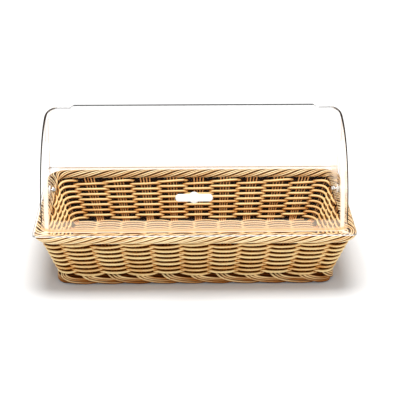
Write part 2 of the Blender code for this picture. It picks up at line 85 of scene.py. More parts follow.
# Border rods: a pair starts low outside, passes over the top and ends low inside, in degrees
BORDER_PAIRS_PER_PITCH = 2
BORDER_PAIR_SHARE = 0.42
BORDER_FIRST_TURN = -118
BORDER_TOP_TURN = 55
BORDER_LAST_TURN = 238
BORDER_OUTER_PITCHES = 1.54
BORDER_INNER_PITCHES = 1.30
BORDER_RADIUS = 0.00142
BORDER_STRAY = 0.0002
BORDER_CORE_RADIUS = 0.0018
BORDER_CORE_INSET = 0.0036
# Each border rod's painted highlight leans towards its partner, so a pair reads as one lit crown with painted
# shade between pairs.
PAIR_LEAN = 0.55

# Foot and floor rods
FOOT_ROD_RADIUS = 0.0019
FOOT_SOURCE_HEIGHT = 0.0170
FOOT_RODS = ((-0.25, 0.0019), (-0.10, 0.0056), (0.05, 0.0088))  # first station, height at rest
FOOT_SWEEP = 1.36
FOOT_START_DEPTH = 0.0060
FOOT_END_DEPTH = 0.0050
FOOT_CORE = ((0.0040, 0.0016), (0.0075, 0.0018), (0.0110, 0.0020), (0.0144, 0.0008))  # height, reach
FLOOR_EDGE_HEIGHT = 0.0112
FLOOR_EDGE_REACHES = (-0.0060, -0.0094, -0.0128)
CORE_RADIUS = 0.0019
FLOOR_RADIUS = 0.0023
FLOOR_PITCH = 0.00517
FLOOR_STRANDS = 44
FLOOR_BUNDLE_HEIGHT = 0.0135
FLOOR_REACH = 0.0029
FLOOR_INSET = 0.0085
FLOOR_STRAY = 0.00015
FLOOR_SAMPLE = 0.0035
# Dark rods under the floor strands, painted shade for the gaps between them.
FLOOR_SHADE_INSET = 0.003
FLOOR_SHADE_PITCH = 0.0036
FLOOR_SHADE_HEIGHT = 0.0064

# The wall's middle surface, as the solids have it
foot_low, foot_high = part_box("foot_border")
rim_low, rim_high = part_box("rim_border")
FOOT_CORNER = 0.030
RIM_CORNER = 0.036
FOOT_INSET = 0.0077
RIM_INSET = 0.0166
BORDER_WIDTH = 0.0200
WALL_LEAN = (rim_high.y - RIM_INSET - foot_high.y + FOOT_INSET) / (rim_low.z - foot_high.z)
CORE_STATIONS = [step / 8 for step in range(BUNDLES * 8)]
UP = Vector((0, 0, 1))
floor_half_length = (foot_high.x - foot_low.x) / 2 - FOOT_INSET - FLOOR_INSET
floor_half_depth = (foot_high.y - foot_low.y) / 2 - FOOT_INSET - FLOOR_INSET

# The cover, as the solids have it
front_low, front_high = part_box("front_shell")
cap_low, cap_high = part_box("pivot_cap_right")
COVER_MIDDLE = (front_low.x + front_high.x) / 2
FLANGE_HALF_LENGTH = (front_high.x - front_low.x) / 2
COVER_HALF_WIDTH = 0.251
COVER_RADIUS = 0.152
COVER_FILLET = 0.022
COVER_THICKNESS = 0.003
COVER_CLEARANCE = 0.0030
FRONT_SETBACK = 0.0093
COVER_LAP = 0.008
COVER_SEAM = 0.0006
PIVOT_HEIGHT = (cap_low.z + cap_high.z) / 2  # and PIVOT_HEIGHT + COVER_RADIUS is the cover's top
FLANGE_LOW = front_low.z
FLANGE_THICKNESS = 0.003
FLANGE_TOP = FLANGE_LOW + FLANGE_THICKNESS
FLANGE_CORNER = 0.007
EAR_RADIUS = 0.014
FRONT_HOLE_RADIUS = 0.0048
REAR_HOLE_RADIUS = 0.0023
LIP_HALF_LENGTH = 0.207
LIP_SLOPE = 0.007
LIP_THICKNESS = 0.004
LIP_RISE = 0.0042
REACH_PAST = 0.010
COVER_STEPS = 120
FILLET_STEPS = 12

# The acrylic's look. A limit is how far from edge on, from 0 to 1, the wall is still painted dark, as the
# shade where it bends the light away.
FLAT_LIMIT = 0.001
HIDDEN_LIMIT = 0.04
TOP_LIMIT = 0.12
CORNER_LIMIT = 0.24
SIDE_LIMIT = 0.58
INNER_LIMIT = 0.34
# Painted reflection: a white glint on the bends, a faint haze beside it, and a veil on the skirt, amber at
# its root.
GLINT_TOP = 0.118
GLINT = 0.95
SIDE_HAZE = 0.05
FRONT_SKIRT_VEIL = 0.22
SKIRT_VEIL = 0.05
AMBER_HIGH = FLANGE_TOP + 0.0085
AMBER_FULL = FLANGE_TOP + 0.0050
CLEAR_ALPHA = 0.003
SURFACE_SLACK = 0.001

FOCAL_PIXELS = 1414.85
PHOTO_PIXELS = 400
SHELL_BODIES = {"front_shell": "front_cover", "rear_shell": "rear_cover"}
BRIGHT_EDGE, LIP_CREST, LIP_FACE, GREY_EDGE, TIGHT_BEND, SAWN_END = range(1, 7)  # and 0 is the clear sheet


# Finishes

def linear(hex_colour):
    """A linear colour from an sRGB hex value."""
    channels = [int(hex_colour[i:i + 2], 16) / 255 for i in (1, 3, 5)]
    curve = [c / 12.92 if c <= 0.04045 else ((c + 0.055) / 1.055) ** 2.4 for c in channels]
    return (*curve, 1.0)


def add_node(tree, kind, settings=None, links=None):
    """Adds a node, gives its properties or sockets their settings and links its sockets."""
    node = tree.nodes.new(kind)
    for key, value in (settings or {}).items():
        if isinstance(key, str) and hasattr(node, key):
            setattr(node, key, value)
        else:
            node.inputs[key].default_value = value
    for key, source in (links or {}).items():
        tree.links.new(source, node.inputs[key])
    return node


def new_finish(name, settings):
    """A Principled material with its even values set on the shader."""
    material = bpy.data.materials.new(name)
    material.use_nodes = True
    shader = material.node_tree.nodes["Principled BSDF"]
    for key, value in settings.items():
        shader.inputs[key].default_value = value
    return material, material.node_tree, shader


def poly_rattan(name, stops, gloss=0.16):
    """Extruded polyethylene strand with a wood-like streak, half matt.

    It is painted pale on its crown, a painted highlight, and brown in its grooves, painted shade where
    strands shade each other.
    """
    material, tree, shader = new_finish(name, {"Roughness": 0.45, "IOR": 1.5, "Specular IOR Level": gloss})
    place = add_node(tree, "ShaderNodeAttribute", {"attribute_name": "strand_place"})
    tone = add_node(tree, "ShaderNodeAttribute", {"attribute_name": "strand_tone"})
    # Painted light and shade: a point is lighter the more it faces the crown's way, darker in the grooves.
    crown = add_node(tree, "ShaderNodeAttribute", {"attribute_name": "strand_painted_light"})
    stretch = {"Scale": (60, 2.6, 2.6)}  # a streak is about 17 mm long
    along = add_node(tree, "ShaderNodeMapping", stretch, {"Vector": place.outputs["Vector"]})
    moved = {0: along.outputs["Vector"], 1: tone.outputs["Color"]}
    shift = add_node(tree, "ShaderNodeVectorMath", {"operation": "ADD"}, moved)
    grain = {"Scale": 1.0, "Detail": 3.0, "Roughness": 0.6}
    streak = add_node(tree, "ShaderNodeTexNoise", grain, {"Vector": shift.outputs["Vector"]})
    weight = {"operation": "MULTIPLY_ADD", 1: 0.62, 2: -0.12}
    mixed = add_node(tree, "ShaderNodeMath", weight, {0: crown.outputs["Fac"]})
    for share, source in ((0.40, streak), (0.16, tone)):
        terms = {0: source.outputs["Fac"], 2: mixed.outputs[0]}
        mixed = add_node(tree, "ShaderNodeMath", {"operation": "MULTIPLY_ADD", 1: share}, terms)
    ramp = add_node(tree, "ShaderNodeValToRGB", links={"Fac": mixed.outputs[0]})
    elements = ramp.color_ramp.elements
    while len(elements) < len(stops):
        elements.new(0.5)
    for element, (position, colour) in zip(elements, stops):
        element.position = position
        element.color = linear(colour)
    tree.links.new(ramp.outputs["Color"], shader.inputs["Base Color"])
    ribs = {"Strength": 0.25, "Distance": 0.0003}
    bump = add_node(tree, "ShaderNodeBump", ribs, {"Height": streak.outputs["Fac"]})
    tree.links.new(bump.outputs["Normal"], shader.inputs["Normal"])
    return material


def clear_acrylic(name, gloss, darkest=0.985):
    """Cast PMMA sheet, blown over a form: clear face on, painted dark where the curved wall bends the light
    away.

    Under the pivots the front carries a painted reflection of the basket: a cream veil, amber at its root.
    The bends carry a painted white glint, the end wall a painted reflection of the white room where it is
    seen almost edge on, and the tint glows faintly as painted light.
    """
    material, tree, shader = new_finish(name, {"Roughness": 0.03, "IOR": 1.49, "Specular IOR Level": gloss})
    coords = add_node(tree, "ShaderNodeTexCoord")
    facing = add_node(tree, "ShaderNodeLayerWeight", {"Blend": 0.5})
    sheet = add_node(tree, "ShaderNodeNewGeometry")
    pattern = {"Scale": 18.0, "Detail": 3.0}
    # Noise that makes the painted veil uneven.
    veil_noise = add_node(tree, "ShaderNodeTexNoise", pattern, {"Vector": coords.outputs["Object"]})
    place = add_node(tree, "ShaderNodeSeparateXYZ", links={0: coords.outputs["Object"]})
    value = {
        "facing": facing.outputs["Facing"],
        "inside": sheet.outputs["Backfacing"],
        "veil_noise": veil_noise.outputs["Fac"],
        "height": place.outputs["Z"],
    }
    for key in ("bend_limit", "skirt_veil", "bend_veil", "end_wall"):
        value[key] = add_node(tree, "ShaderNodeAttribute", {"attribute_name": key}).outputs["Fac"]
    for key, source in (("square", "facing"), ("outside", "inside")):
        node = add_node(tree, "ShaderNodeMath", {"operation": "SUBTRACT", 0: 1.0}, {1: value[source]})
        value[key] = node.outputs[0]
    bend = {0: value["square"], 1: value["bend_limit"]}
    value["bend"] = add_node(tree, "ShaderNodeMath", {"operation": "DIVIDE"}, bend).outputs[0]
    spans = (
        ("edge_on", "bend", 1.0, 0.9, 0.0, darkest),
        ("above", "height", FLANGE_TOP, FLANGE_TOP + 0.0006, 0.0, 1.0),
        ("below", "height", PIVOT_HEIGHT + 0.006, PIVOT_HEIGHT + 0.002, 0.0, 1.0),
        ("root", "height", AMBER_HIGH, AMBER_FULL, 1.0, 3.4),
        ("uneven_veil", "veil_noise", 0.0, 1.0, 0.85, 1.1),
        ("grazing", "square", 0.30, 0.16, 0.0, 1.0),
        ("high", "height", PIVOT_HEIGHT - 0.004, PIVOT_HEIGHT + 0.012, 0.22, 0.80),
        ("turned_out", "height", AMBER_HIGH, AMBER_FULL, 0.0, 1.0),
        ("rooted", "height", FLANGE_TOP + 0.0016, FLANGE_TOP + 0.0024, 0.0, 1.0),
    )
    for key, source, start, end, low, high in spans:
        settings = {"From Min": start, "From Max": end, "To Min": low, "To Max": high}
        node = add_node(tree, "ShaderNodeMapRange", settings, {"Value": value[source]})
        value[key] = node.outputs["Result"]
    sums = (
        ("line", "MULTIPLY", "edge_on", "outside"),
        ("band", "MULTIPLY", "above", "below"),
        ("strip", "MULTIPLY", "band", "root"),
        ("veil", "MULTIPLY", "strip", "skirt_veil"),
        ("haze", "MAXIMUM", "veil", "bend_veil"),
        ("clear", "MULTIPLY_ADD", "haze", "uneven_veil"),
        ("mirror", "MULTIPLY", "grazing", "high"),
        ("mirrored", "MULTIPLY", "mirror", "end_wall"),
        ("plain", "MAXIMUM", "clear", "mirrored"),
        ("seen", "MAXIMUM", "plain", "line"),
        ("amber", "MULTIPLY", "turned_out", "rooted"),
    )
    for key, operation, first, second in sums:
        settings = {"operation": operation, 2: CLEAR_ALPHA}  # MULTIPLY_ADD alone uses the third value
        node = add_node(tree, "ShaderNodeMath", settings, {0: value[first], 1: value[second]})
        value[key] = node.outputs[0]
    tree.links.new(value["seen"], shader.inputs["Alpha"])
    # The veil colour is a painted reflection of the basket, amber at its root; the near black tint is the
    # painted dark edge line.
    veil_colour = add_node(tree, "ShaderNodeMix", {"data_type": "RGBA"}, {0: value["amber"]})
    veil_colour.inputs[6].default_value = linear("#FFEBD4")
    veil_colour.inputs[7].default_value = linear("#F2C694")
    shares = {0: value["line"], 6: veil_colour.outputs[2]}
    tint = add_node(tree, "ShaderNodeMix", {"data_type": "RGBA"}, shares)
    tint.inputs[7].default_value = linear("#1E1612")
    tree.links.new(tint.outputs[2], shader.inputs["Base Color"])
    # Painted light: the tint also glows, which brightens the painted veil and glint.
    tree.links.new(tint.outputs[2], shader.inputs["Emission Color"])
    shader.inputs["Emission Strength"].default_value = 0.35
    return material


def acrylic_edge(name, colour, alpha, roughness, span=None, across=False):
    """A trimmed and polished acrylic edge, painted: white where the light that runs inside the sheet comes
    out, grey and near black as painted shade, tan as the basket seen through it.

    A span is the two heights, or places out from the middle, between which the edge turns from clear
    to its colour.
    """
    material, tree, shader = new_finish(name, {"Roughness": roughness, "IOR": 1.49, "Alpha": alpha})
    coords = add_node(tree, "ShaderNodeTexCoord")
    pattern = {"Scale": 900.0, "Detail": 2.0}
    marks = add_node(tree, "ShaderNodeTexNoise", pattern, {"Vector": coords.outputs["Object"]})
    evenness = {"To Min": 0.9, "To Max": 1.1}
    shade = add_node(tree, "ShaderNodeMapRange", evenness, {"Value": marks.outputs["Fac"]})
    scaled = {"Scale": shade.outputs["Result"]}
    tinted = add_node(tree, "ShaderNodeVectorMath", {"operation": "SCALE"}, scaled)
    tinted.inputs[0].default_value = linear(colour)[:3]
    tree.links.new(tinted.outputs["Vector"], shader.inputs["Base Color"])
    if span:
        place = add_node(tree, "ShaderNodeSeparateXYZ", links={0: coords.outputs["Object"]})
        axis = place.outputs["X" if across else "Z"]
        out = add_node(tree, "ShaderNodeMath", {"operation": "ABSOLUTE"}, {0: axis})
        least = 0.0 if across else 0.04
        settings = {"From Min": span[0], "From Max": span[1], "To Min": least, "To Max": alpha}
        lit = add_node(tree, "ShaderNodeMapRange", settings, {"Value": out.outputs[0]})
        tree.links.new(lit.outputs["Result"], shader.inputs["Alpha"])
    return material


def sheet_end(name):
    """The front sheet's sawn end, painted: faint along the top, dark round the bend as painted shade, tan
    down the end wall as the painted basket seen through it.
    """
    material, tree, shader = new_finish(name, {"Roughness": 0.3, "IOR": 1.49, "Specular IOR Level": 0.3})
    coords = add_node(tree, "ShaderNodeTexCoord")
    place = add_node(tree, "ShaderNodeSeparateXYZ", links={0: coords.outputs["Object"]})
    out = add_node(tree, "ShaderNodeMath", {"operation": "ABSOLUTE"}, {0: place.outputs["X"]})
    value = {"out": out.outputs[0], "height": place.outputs["Z"]}
    crest = PIVOT_HEIGHT + COVER_RADIUS
    spans = (
        ("beside_lip", "out", LIP_HALF_LENGTH - 0.001, LIP_HALF_LENGTH + 0.002, 0.44),
        ("bent", "out", COVER_HALF_WIDTH - COVER_FILLET, COVER_HALF_WIDTH - 0.014, 0.50),
        ("down_wall", "out", COVER_HALF_WIDTH - 0.012, COVER_HALF_WIDTH - 0.006, 0.42),
        ("high", "height", crest - COVER_FILLET, crest - 0.010, 1.0),
    )
    for key, source, start, end, most in spans:
        settings = {"From Min": start, "From Max": end, "To Max": most}
        node = add_node(tree, "ShaderNodeMapRange", settings, {"Value": value[source]})
        value[key] = node.outputs["Result"]
    sums = (
        ("round_bend", "ADD", "beside_lip", "bent"),
        ("dark_painted", "MULTIPLY", "round_bend", "high"),
        ("seen", "MAXIMUM", "dark_painted", "down_wall"),
    )
    for key, operation, first, second in sums:
        terms = {0: value[first], 1: value[second]}
        value[key] = add_node(tree, "ShaderNodeMath", {"operation": operation}, terms).outputs[0]
    tree.links.new(value["seen"], shader.inputs["Alpha"])
    tint = add_node(tree, "ShaderNodeMix", {"data_type": "RGBA"}, {0: value["high"]})
    tint.inputs[6].default_value = linear("#D8B49A")
    tint.inputs[7].default_value = linear("#3A2C26")
    tree.links.new(tint.outputs[2], shader.inputs["Base Color"])
    return material


def hard_finish(name, settings, colour, marks, matt):
    """A smooth moulded or plated finish, its roughness faintly uneven between two values."""
    material, tree, shader = new_finish(name, settings)
    shader.inputs["Base Color"].default_value = linear(colour)
    coords = add_node(tree, "ShaderNodeTexCoord")
    pattern = {"Scale": marks, "Detail": 2.0}
    mottle = add_node(tree, "ShaderNodeTexNoise", pattern, {"Vector": coords.outputs["Object"]})
    span = {"To Min": matt[0], "To Max": matt[1]}
    gloss = add_node(tree, "ShaderNodeMapRange", span, {"Value": mottle.outputs["Fac"]})
    tree.links.new(gloss.outputs["Result"], shader.inputs["Roughness"])
    return material


def pale_rubber():
    """Pale silicone rubber washer: soft and matt."""
    material, tree, shader = new_finish("pale silicone rubber", {"Roughness": 0.7})
    shader.inputs["Base Color"].default_value = linear("#DEDDD8")
    return material


# Places on the basket

def side_place(half_run, half_across, corner, share):
    """A place on one side of a rounded rectangle, between the middles of its two corners."""
    arc = corner * math.pi / 4
    straight = 2 * (half_run - corner)
    run = share * (2 * arc + straight)
    if run < arc:
        lean = (run - arc) / corner
        along = corner * math.sin(lean) - straight / 2
    elif run > arc + straight:
        lean = (run - arc - straight) / corner
        along = corner * math.sin(lean) + straight / 2
    else:
        lean = 0.0
        along = run - arc - straight / 2
    return along, half_across - corner + corner * math.cos(lean), lean


def ring_place(length, depth, corner, station):
    """The point and the outward way at a station on a rounded rectangle.

    Stations count bundle pitches anticlockwise from the middle of the front left corner.
    """
    station %= BUNDLES
    quarter = max(q for q in range(4) if CORNER_STATIONS[q] <= station)
    count = SHORT_PITCHES if quarter % 2 else LONG_PITCHES
    run, across = (depth, length) if quarter % 2 else (length, depth)
    share = (station - CORNER_STATIONS[quarter]) / count
    if quarter == 2:
        share -= BACK_SHIFT * min(1.0, 6 * share, 6 * (1 - share))
    along, out, lean = side_place(run / 2, across / 2, corner, share)
    turn = Matrix.Rotation(quarter * math.pi / 2, 3, "Z")
    return turn @ Vector((along, -out, 0)), turn @ Vector((math.sin(lean), -math.cos(lean), 0))


def wall_share(height):
    """How far up the sloping wall a height lies, from 0 at the foot's top to 1 under the border."""
    return max(0.0, (height - foot_high.z) / (rim_low.z - foot_high.z))


def wall_face(station, side=1.0):
    """The way square out from the sloping wall, or in for a side of -1, raised towards the light."""
    outward = ring_place(rim_high.x * 2, rim_high.y * 2, RIM_CORNER, station)[1]
    square = (outward - Vector((0, 0, WALL_LEAN))).normalized()
    return (square * side + Vector((0, 0, CROWN_RAISE))).normalized()


def wall_place(station, height, reach=0.0):
    """A point on the wall's middle surface, or a reach square out from it."""
    share = wall_share(height)
    inset = FOOT_INSET
    length = (foot_high.x - foot_low.x) - 2 * inset
    depth = (foot_high.y - foot_low.y) - 2 * inset
    length += share * ((rim_high.x - rim_low.x) - 2 * RIM_INSET - length)
    depth += share * ((rim_high.y - rim_low.y) - 2 * RIM_INSET - depth)
    corner = FOOT_CORNER - inset
    corner += share * (RIM_CORNER - RIM_INSET - corner)
    point, outward = ring_place(length, depth, corner, station)
    lean = WALL_LEAN if height > foot_high.z else 0.0
    return point + outward * reach + Vector((0, 0, height - reach * lean))


# Rods

def lay_rods(name, runs, radius, material, sides=8):
    """Round rods along runs of points, as one piece.

    A run is its points, a pair for each and whether it is closed. The pair is the way the painted
    highlight faces there and how far only that side is painted lit, from 0 to 1.
    """
    curve = bpy.data.curves.new(name, "CURVE")
    curve.dimensions = "3D"
    curve.bevel_depth = radius
    curve.bevel_resolution = (sides - 4) // 2
    curve.twist_mode = "MINIMUM"
    for points, _, closed in runs:
        spline = curve.splines.new("POLY")
        spline.points.add(len(points) - 1)
        for slot, point in zip(spline.points, points):
            slot.co = (*point, 1.0)
        spline.use_cyclic_u = closed
        spline.use_smooth = True
    piece = bpy.data.objects.new(name, curve)
    bpy.context.scene.collection.objects.link(piece)
    bpy.ops.object.select_all(action="DESELECT")
    piece.select_set(True)
    bpy.context.view_layer.objects.active = piece
    bpy.ops.object.convert(target="MESH")
    mark_strands(piece, runs, sides)
    if not all(closed for _, _, closed in runs):
        bpy.ops.object.mode_set(mode="EDIT")
        bpy.ops.mesh.select_all(action="DESELECT")
        bpy.ops.mesh.select_non_manifold()
        bpy.ops.mesh.fill_holes(sides=sides)
        bpy.ops.object.mode_set(mode="OBJECT")
    piece.data.materials.clear()
    piece.data.materials.append(material)
    return piece


def mark_strands(piece, runs, sides):
    """Stores each point's place along and round its strand, its painted light by nearness to the crown and
    the tone.
    """
    mesh = piece.data
    expected = sum(len(points) for points, _, _ in runs) * sides
    if len(mesh.vertices) != expected:
        raise ValueError(f"{piece.name} has {len(mesh.vertices)} points, not {expected}")
    mesh.attributes.new("strand_place", "FLOAT_VECTOR", "POINT")
    mesh.attributes.new("strand_tone", "FLOAT", "POINT")
    mesh.attributes.new("strand_painted_light", "FLOAT", "POINT")
    places, tones, painted_lights = [], [], []
    corners = iter([vertex.co.copy() for vertex in mesh.vertices])
    for points, faces, _ in runs:
        shade = rng.random()
        start = rng.uniform(0, 10)
        run = 0.0
        for index, point in enumerate(points):
            if index:
                run += (point - points[index - 1]).length
            for side in range(sides):
                angle = side / sides * 2 * math.pi
                places += [start + run, math.cos(angle), math.sin(angle)]
                tones.append(shade)
                away = (next(corners) - point).normalized()
                face, bare = faces[index]
                turned = away.dot(face)
                painted_lights.append(bare * max(0.0, turned) + (1 - bare) * abs(turned))
    mesh.attributes["strand_place"].data.foreach_set("vector", places)
    mesh.attributes["strand_tone"].data.foreach_set("value", tones)
    mesh.attributes["strand_painted_light"].data.foreach_set("value", painted_lights)


def put(piece, body, slot, *nodes):
    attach(piece, body)
    if nodes:
        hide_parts(*nodes)
    return piece


# The basket

def weave_wave(station, row):
    """How far out a strand lies at a station, from -1 inside a bundle to 1 outside it."""
    return math.tanh(WEAVE_SNAP * math.cos(math.pi * (station + row))) / math.tanh(WEAVE_SNAP)


def weave_wall(material):
    """One strand for each weaver of the solids. The top two rows rise and sink more between bundles."""
    samples = 12
    for node in sorted(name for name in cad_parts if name.startswith("weaver_")):
        row = int(node.split("_")[1])
        low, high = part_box(node)
        height = (low.z + high.z) / 2
        points, faces = [], []
        wobble = [rng.uniform(-1, 1) for _ in range(BUNDLES)]
        slant = ROW_SLANTS.get(row, COMMON_SLANT)
        for step in range(BUNDLES * samples):
            station = step / samples
            here, past = int(station), station % 1
            stray = WEAVER_WOBBLE * (wobble[here] * (1 - past) + wobble[(here + 1) % BUNDLES] * past)
            tilt = slant * math.sin(math.pi * (station + row))
            wave = weave_wave(station, row)
            points.append(wall_place(station, height + stray + tilt, WEAVER_REACH * wave + stray))
            # A strand is painted lit on the side away from the bundle it passes and in shade against it.
            faces.append((wall_face(station, math.copysign(1, wave)), abs(wave)))
        piece = lay_rods(f"wall_strand_{row:02d}", [(points, faces, True)], WEAVER_RADIUS, material)
        put(piece, "basket", "rattan", node)


def shade_wall(material):
    """Thin dark rounds inside the wall, painted shade, where the real strands are pressed together and let no
    light by.
    """
    stations = [step / 5 for step in range(BUNDLES * 5)]
    runs = []
    rise = (rim_low.z + WALL_SHADE_LAP - foot_high.z) / WALL_SHADE_RINGS
    for ring in range(WALL_SHADE_RINGS):
        points = [wall_place(station, foot_high.z + rise * (ring + 0.5)) for station in stations]
        runs.append((points, [(wall_face(station), 1) for station in stations], True))
    put(lay_rods("wall_shade_rings", runs, WALL_SHADE_RADIUS, material, 6), "basket", "rattan")


def stake_path(station, across, end_height):
    """One rod of a bundle, from its bend in the foot up to the border."""
    points = []
    for step in range(BEND_POINTS):
        angle = step / BEND_POINTS * math.pi / 2
        height = FLOOR_BUNDLE_HEIGHT + STAKE_BEND * (1 - math.cos(angle))
        points.append((height, -STAKE_BEND * (1 - math.sin(angle))))
    start = FLOOR_BUNDLE_HEIGHT + STAKE_BEND
    for step in range(RISE_POINTS + 1):
        points.append((start + (end_height - start) * step / RISE_POINTS, 0.0))
    placed = []
    for height, reach in points:
        share = wall_share(height)
        pitch = STAKE_PITCH_LOW + (STAKE_PITCH_HIGH - STAKE_PITCH_LOW) * share
        middle = wall_place(station, height, reach)
        ahead = wall_place(station + 0.02, height, reach) - wall_place(station - 0.02, height, reach)
        placed.append(middle + ahead.normalized() * across * pitch)
    return placed


def stake_runs(station, tuck):
    """The four rods of a bundle whose lower end is tucked under the floor."""
    runs = []
    for rod in range(RODS_PER_BUNDLE):
        across = rod - (RODS_PER_BUNDLE - 1) / 2
        path = stake_path(station, across, rim_low.z + STAKE_INTO_BORDER)
        inward = wall_place(station, 0, -tuck) - wall_place(station, 0)
        # Painted light: the tucked end lit from above, the rising rod lit inward and in shade outward.
        faces = [(UP, 1)] * 4 + [(wall_face(station, -1.0), WALL_BARE)] * (len(path) - 3)
        runs.append(([path[0] + inward] + path, faces, False))
    return runs


def cross_runs(front, back):
    """The four rods of a bundle that runs down the front wall, across the floor and up the back."""
    runs = []
    for rod in range(RODS_PER_BUNDLE):
        across = rod - (RODS_PER_BUNDLE - 1) / 2
        rising = stake_path(front, across, rim_low.z + STAKE_INTO_BORDER)
        falling = stake_path(back, -across, rim_low.z + STAKE_INTO_BORDER)
        up = [(UP, 1)] * 3
        # Painted light: lit from above under the floor, lit inward and in shade outward up the walls.
        faces = [(wall_face(back, -1.0), WALL_BARE)] * (len(falling) - 3) + up + up
        faces += [(wall_face(front, -1.0), WALL_BARE)] * (len(rising) - 3)
        half_pitch = (wall_place(front + 1, 0).x - wall_place(front, 0).x) / 2
        crossing = []
        for point in (falling[0], rising[0]):
            crossing.append(Vector((point.x + half_pitch, point.y * CROSSING_REACH, point.z)))
        faces[len(falling):len(falling)] = up[:2]
        runs.append((falling[::-1] + crossing + rising, faces, False))
    return runs


def stand_stakes(material):
    where = ("front_left", "front_right", "back_right", "back_left")
    for station, name in zip(CORNER_STATIONS, where):
        piece = lay_rods(f"corner_rods_{name}", stake_runs(station, CORNER_TUCK), STAKE_RADIUS, material)
        put(piece, "basket", "rattan", f"corner_stake_{name}")
    for number in range(1, LONG_PITCHES):
        runs = cross_runs(number, CORNER_STATIONS[3] - number)
        piece = lay_rods(f"cross_rods_{number}", runs, STAKE_RADIUS, material)
        put(piece, "basket", "rattan", f"cross_stake_{number}")
    for number in range(1, SHORT_PITCHES):
        for side, station in (("right", LONG_PITCHES + number), ("left", BUNDLES - number)):
            runs = stake_runs(station, END_TUCK)
            piece = lay_rods(f"end_rods_{side}_{number}", runs, STAKE_RADIUS, material)
            put(piece, "basket", "rattan", f"end_stake_{side}_{number}")


def border_face(station, angle, lean=0.0):
    """The way out from the border's section, or leaning along the border."""
    outward = ring_place(rim_high.x * 2, rim_high.y * 2, RIM_CORNER, station)[1]
    along = Vector((-outward.y, outward.x, 0))
    return (outward * math.cos(angle) + Vector((0, 0, math.sin(angle))) + along * lean).normalized()


def border_place(station, angle, shrink=0.0):
    """A point on the rolled border's section. Angle 0 faces outwards and a quarter turn is the top."""
    half_height = (rim_high.z - rim_low.z) / 2
    length = rim_high.x - rim_low.x - BORDER_WIDTH
    depth = rim_high.y - rim_low.y - BORDER_WIDTH
    corner = RIM_CORNER - BORDER_WIDTH / 2
    point, outward = ring_place(length, depth, corner, station)
    out = (BORDER_WIDTH / 2 - BORDER_RADIUS - shrink) * math.cos(angle)
    up = (half_height - BORDER_RADIUS - shrink) * math.sin(angle)
    return point + outward * out + Vector((0, 0, rim_low.z + half_height + up))


def roll_border(material, shaded):
    """Pairs of rods laid over each other round the rim, each once round the border's section."""
    runs = []
    samples = 40
    for pair in range(BUNDLES * BORDER_PAIRS_PER_PITCH):
        for rod in (0, 1):
            start = (pair + rod * BORDER_PAIR_SHARE) / BORDER_PAIRS_PER_PITCH
            dip = rng.uniform(-BORDER_STRAY, BORDER_STRAY)
            points, faces = [], []
            for step in range(samples + 1):
                turn = BORDER_FIRST_TURN + (BORDER_LAST_TURN - BORDER_FIRST_TURN) * step / samples
                outer = min(1, (turn - BORDER_FIRST_TURN) / (BORDER_TOP_TURN - BORDER_FIRST_TURN))
                inner = max(0, (turn - BORDER_TOP_TURN) / (BORDER_LAST_TURN - BORDER_TOP_TURN))
                station = start + BORDER_OUTER_PITCHES * outer + BORDER_INNER_PITCHES * inner
                angle = math.radians(turn)
                points.append(border_place(station, angle, dip))
                # The highlight is painted leaning towards the pair's other rod.
                faces.append((border_face(station, angle, PAIR_LEAN * (1 - 2 * rod)), 1))
            runs.append((points, faces, False))
    piece = lay_rods("rolled_border", runs, BORDER_RADIUS, material, 12)
    put(piece, "basket", "rattan", "rim_border")
    # The border's core is painted in the shade colour.
    core = []
    for turn in range(0, 360, 45):
        angle = math.radians(turn)
        points = [border_place(station, angle, BORDER_CORE_INSET) for station in CORE_STATIONS]
        core.append((points, [(border_face(station, angle), 1) for station in CORE_STATIONS], True))
    put(lay_rods("border_core", core, BORDER_CORE_RADIUS, shaded), "basket", "rattan")


def foot_place(station, height, reach):
    """A point on the foot, at a reach from its outer face."""
    length = foot_high.x - foot_low.x
    depth = foot_high.y - foot_low.y
    point, outward = ring_place(length, depth, FOOT_CORNER, station)
    return point + outward * reach + Vector((0, 0, height))


def plait_foot(material, shaded):
    """Three rods from each bundle sweep down and along, and tuck in behind the next bundle's."""
    runs = []
    samples = 26
    for bundle in range(BUNDLES):
        for start, rest_height in FOOT_RODS:
            points, faces = [], []
            for step in range(samples + 1):
                share = step / samples
                station = bundle + start + share * (FOOT_SWEEP - start)
                drop = 1 - math.exp(-4.2 * share)
                height = FOOT_SOURCE_HEIGHT + (rest_height - FOOT_SOURCE_HEIGHT) * drop
                reach = -FOOT_ROD_RADIUS
                reach -= FOOT_START_DEPTH * (1 - min(1, share / 0.16)) ** 2
                reach -= FOOT_END_DEPTH * max(0, (share - 0.74) / 0.26) ** 1.5
                points.append(foot_place(station, height, reach))
                # The painted highlight is strongest at the rod's shoulder, where it turns down, and fades
                # along the sweep.
                faces.append((border_face(station, math.radians(35)) * (1.40 - 0.75 * share ** 0.5), 1))
            runs.append((points, faces, False))
    put(lay_rods("plaited_foot", runs, FOOT_ROD_RADIUS, material, 10), "basket", "rattan", "foot_border")
    # The rounds behind the foot and along the floor's edge are painted in the shade colour, for the dark gaps
    # there.
    core = []
    for height, reach in FOOT_CORE:
        points = [wall_place(station, height, reach) for station in CORE_STATIONS]
        core.append((points, [(wall_face(station), 1) for station in CORE_STATIONS], True))
    for reach in FLOOR_EDGE_REACHES:
        points = [wall_place(station, FLOOR_EDGE_HEIGHT, reach) for station in CORE_STATIONS]
        core.append((points, [(UP, 1)] * len(points), True))
    put(lay_rods("foot_core", core, CORE_RADIUS, shaded), "basket", "rattan")


def floor_reach(y, inset):
    """How far along the floor a strand goes, at a place across it."""
    corner = FOOT_CORNER - FOOT_INSET
    cut = max(0.0, abs(y) - (floor_half_depth - corner))
    return floor_half_length - inset - corner + math.sqrt(max(0.0, corner**2 - cut**2))


